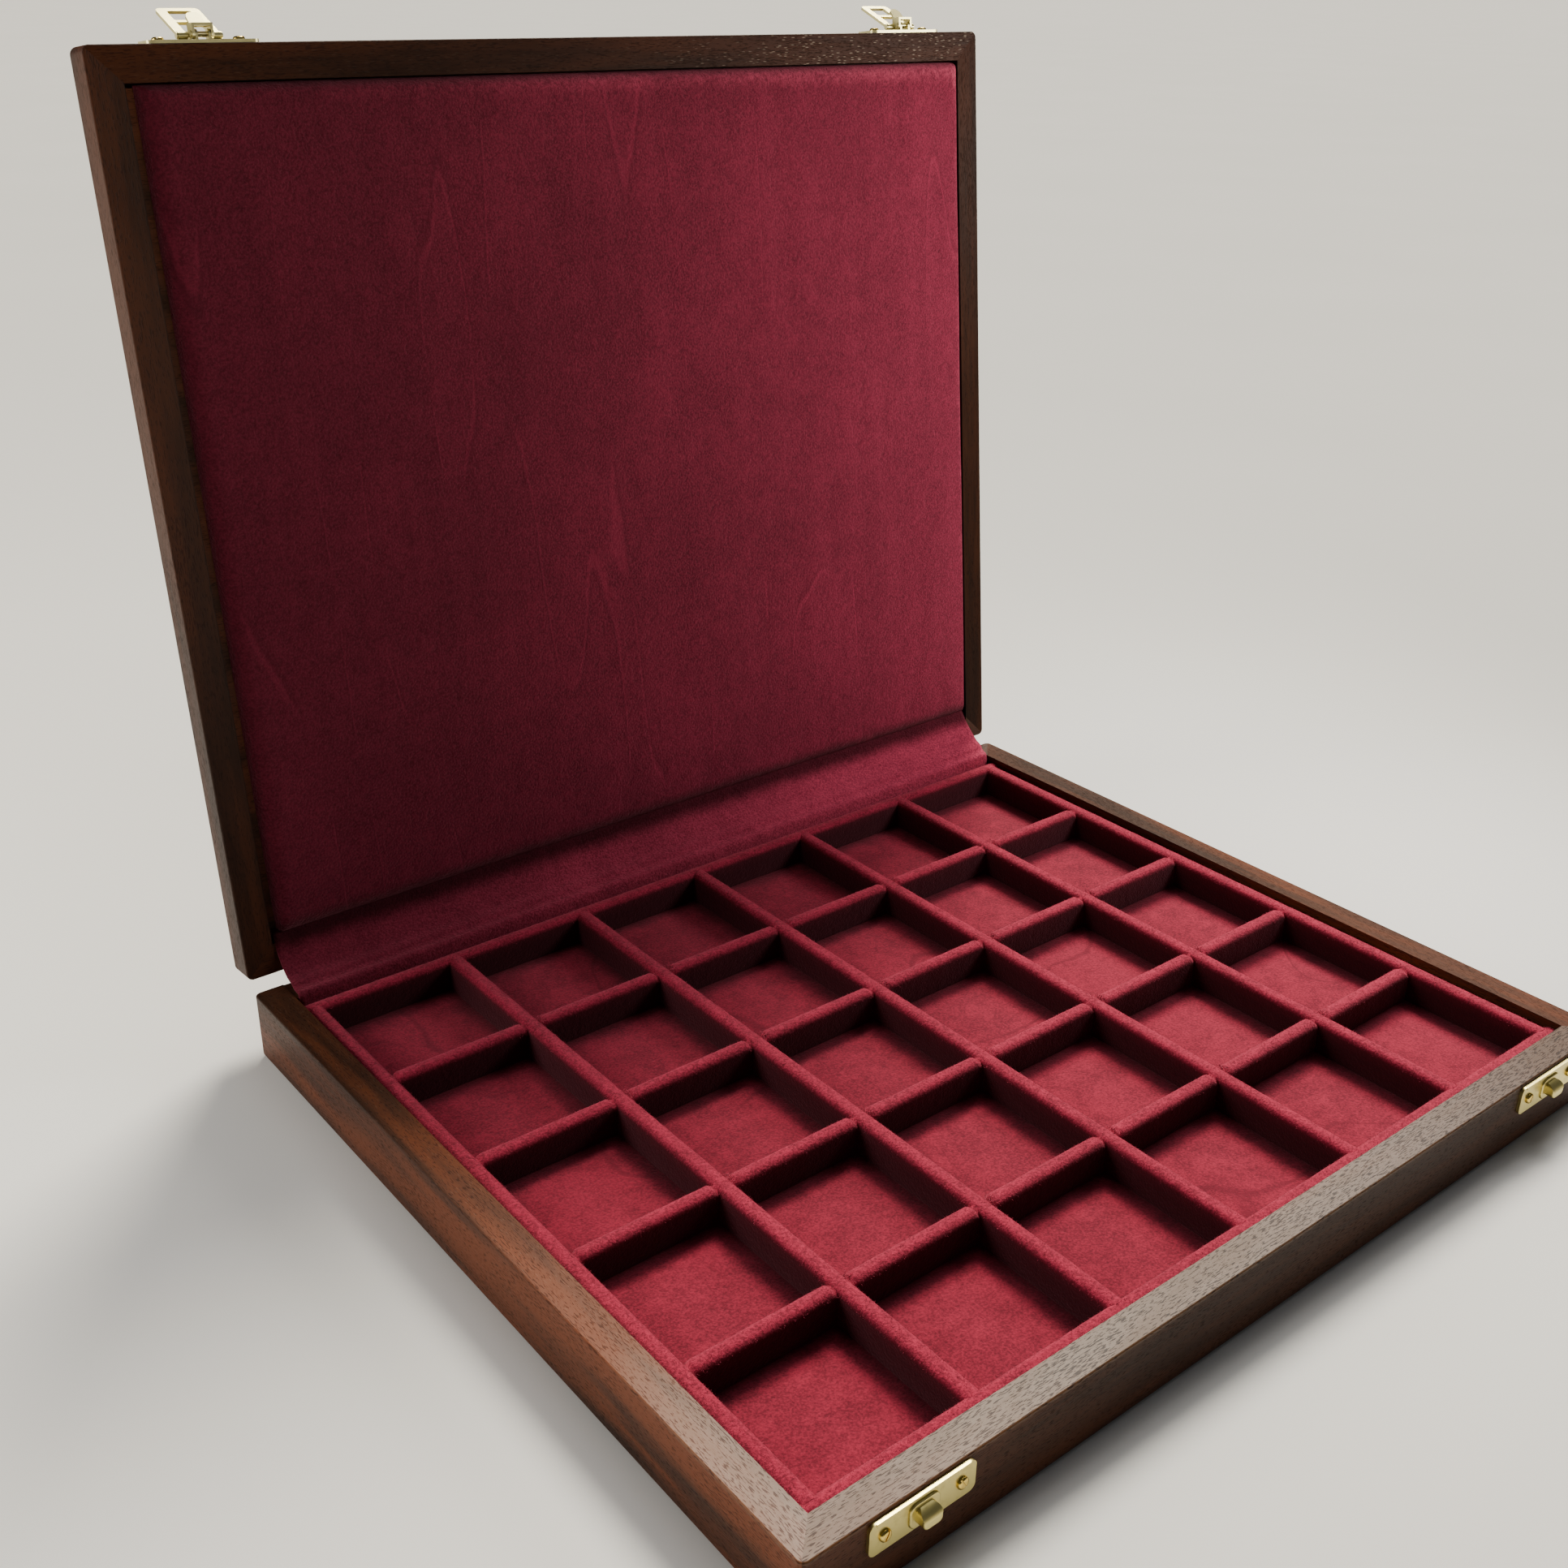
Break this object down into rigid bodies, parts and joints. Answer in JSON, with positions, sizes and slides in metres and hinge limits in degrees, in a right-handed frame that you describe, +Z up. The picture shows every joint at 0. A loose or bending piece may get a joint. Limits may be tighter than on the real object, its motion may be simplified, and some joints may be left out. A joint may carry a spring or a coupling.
{
  "type": "coin display case",
  "caption": "Flat wooden coin case with a hinged padded lid, velvet-lined square cells and brass draw latches.",
  "frame": {"origin": "middle of the flat underside", "axes": "+X along the front to the right, +Y from the front to the hinge, +Z up"},
  "size_m": [0.37, 0.3743, 0.3476],
  "materials": {
    "wood": "dark stained and lacquered, satin, open pores",
    "panel_wood": "dark stained and lacquered, satin",
    "board": "raw board",
    "floor_velvet": "short pile velvet",
    "divider_velvet": "short pile velvet over strips",
    "lid_velvet": "short pile velvet",
    "brass": "plated and polished, pale gold",
    "screw_brass": "polished, deeper gold"
  },
  "bodies": {
    "base": {"base_front_rail": "wood", "base_back_rail": "wood", "base_left_rail": "wood", "base_right_rail": "wood", "base_bottom_panel": "panel_wood", "tray_board": "board", "tray_floor_velvet": "floor_velvet", "tray_long_divider_1": "divider_velvet", "tray_long_divider_2": "divider_velvet", "tray_long_divider_3": "divider_velvet", "tray_long_divider_4": "divider_velvet", "tray_long_divider_5": "divider_velvet", "tray_cross_divider_1": "divider_velvet", "tray_cross_divider_2": "divider_velvet", "tray_cross_divider_3": "divider_velvet", "tray_cross_divider_4": "divider_velvet", "tray_front_strip": "divider_velvet", "tray_back_strip": "divider_velvet", "tray_left_strip": "divider_velvet", "tray_right_strip": "divider_velvet", "hinge_bridge": "lid_velvet", "left_hinge_base_leaf": "brass", "left_hinge_pin": "brass", "left_hinge_base_screws": "screw_brass", "left_keeper": "brass", "left_keeper_screws": "screw_brass", "right_hinge_base_leaf": "brass", "right_hinge_pin": "brass", "right_hinge_base_screws": "screw_brass", "right_keeper": "brass", "right_keeper_screws": "screw_brass"},
    "lid": {"lid_front_rail": "wood", "lid_back_rail": "wood", "lid_left_rail": "wood", "lid_right_rail": "wood", "lid_top_panel": "panel_wood", "lid_pad_board": "board", "lid_pad": "lid_velvet", "left_hinge_lid_leaf": "brass", "left_hinge_lid_screws": "screw_brass", "left_latch_plate": "brass", "left_latch_screws": "screw_brass", "left_latch_lever_pin": "brass", "right_hinge_lid_leaf": "brass", "right_hinge_lid_screws": "screw_brass", "right_latch_plate": "brass", "right_latch_screws": "screw_brass", "right_latch_lever_pin": "brass"},
    "left_lever": {"left_latch_lever": "brass", "left_latch_bail_pin": "brass"},
    "left_bail": {"left_latch_bail": "brass"},
    "right_lever": {"right_latch_lever": "brass", "right_latch_bail_pin": "brass"},
    "right_bail": {"right_latch_bail": "brass"}
  },
  "joints": [
    {"name": "lid_hinge", "type": "hinge", "parent": "base", "child": "lid", "pos_m": [0, 0.1583, 0.0265], "axis": [-1, 0, 0], "range_deg": [-96, 0], "deforming": ["hinge_bridge"]},
    {"name": "left_lever_pivot", "type": "hinge", "parent": "lid", "child": "left_lever", "pos_m": [-0.1465, 0.19487, 0.341], "axis": [1, 0, 0], "range_deg": [0, 80]},
    {"name": "left_bail_pivot", "type": "hinge", "parent": "left_lever", "child": "left_bail", "pos_m": [-0.1465, 0.19702, 0.34037], "axis": [-1, 0, 0], "range_deg": [-150.6, 0]},
    {"name": "right_lever_pivot", "type": "hinge", "parent": "lid", "child": "right_lever", "pos_m": [0.1465, 0.19487, 0.341], "axis": [1, 0, 0], "range_deg": [0, 80]},
    {"name": "right_bail_pivot", "type": "hinge", "parent": "right_lever", "child": "right_bail", "pos_m": [0.1465, 0.19702, 0.34037], "axis": [-1, 0, 0], "range_deg": [-150.6, 0]}
  ]
}
